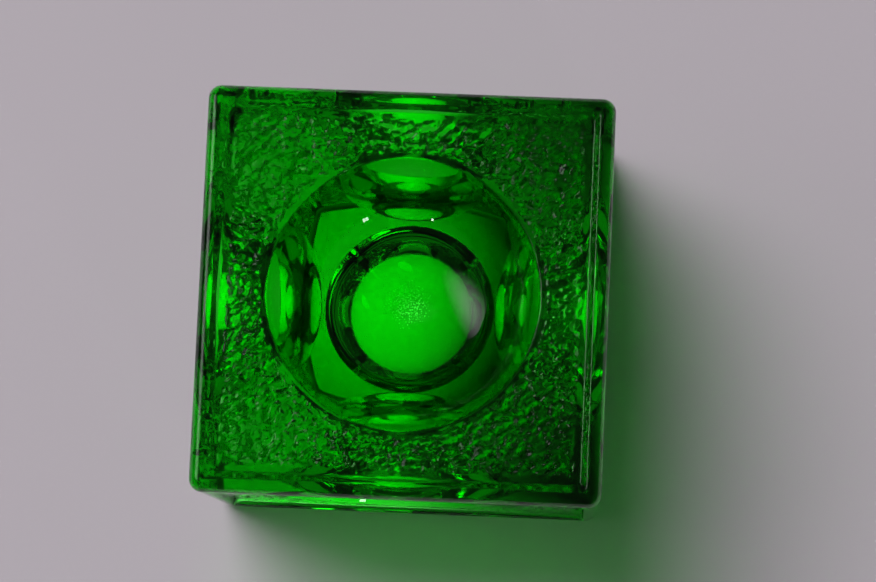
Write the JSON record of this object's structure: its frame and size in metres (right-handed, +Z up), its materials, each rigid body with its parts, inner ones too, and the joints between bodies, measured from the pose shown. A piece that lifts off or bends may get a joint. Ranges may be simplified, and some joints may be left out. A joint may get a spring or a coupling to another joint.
{
  "type": "glass candlestick",
  "caption": "Square block of clear green pressed glass, each face sunk in a smooth frame with a round hollow; the hollow on top is a cup for a ball candle or a tealight.",
  "frame": {"origin": "centre of the base, on the plane that the block stands on", "axes": "+Z up through the candle cup; +X and +Y square to the walls, which are all alike"},
  "size_m": [0.09, 0.09, 0.071],
  "materials": {
    "green_glass": "fire-polished pressed glass, clear and deep green, with ice-like relief on the sunken faces"
  },
  "bodies": {
    "root": {"glass_block": "green_glass"}
  },
  "joints": []
}
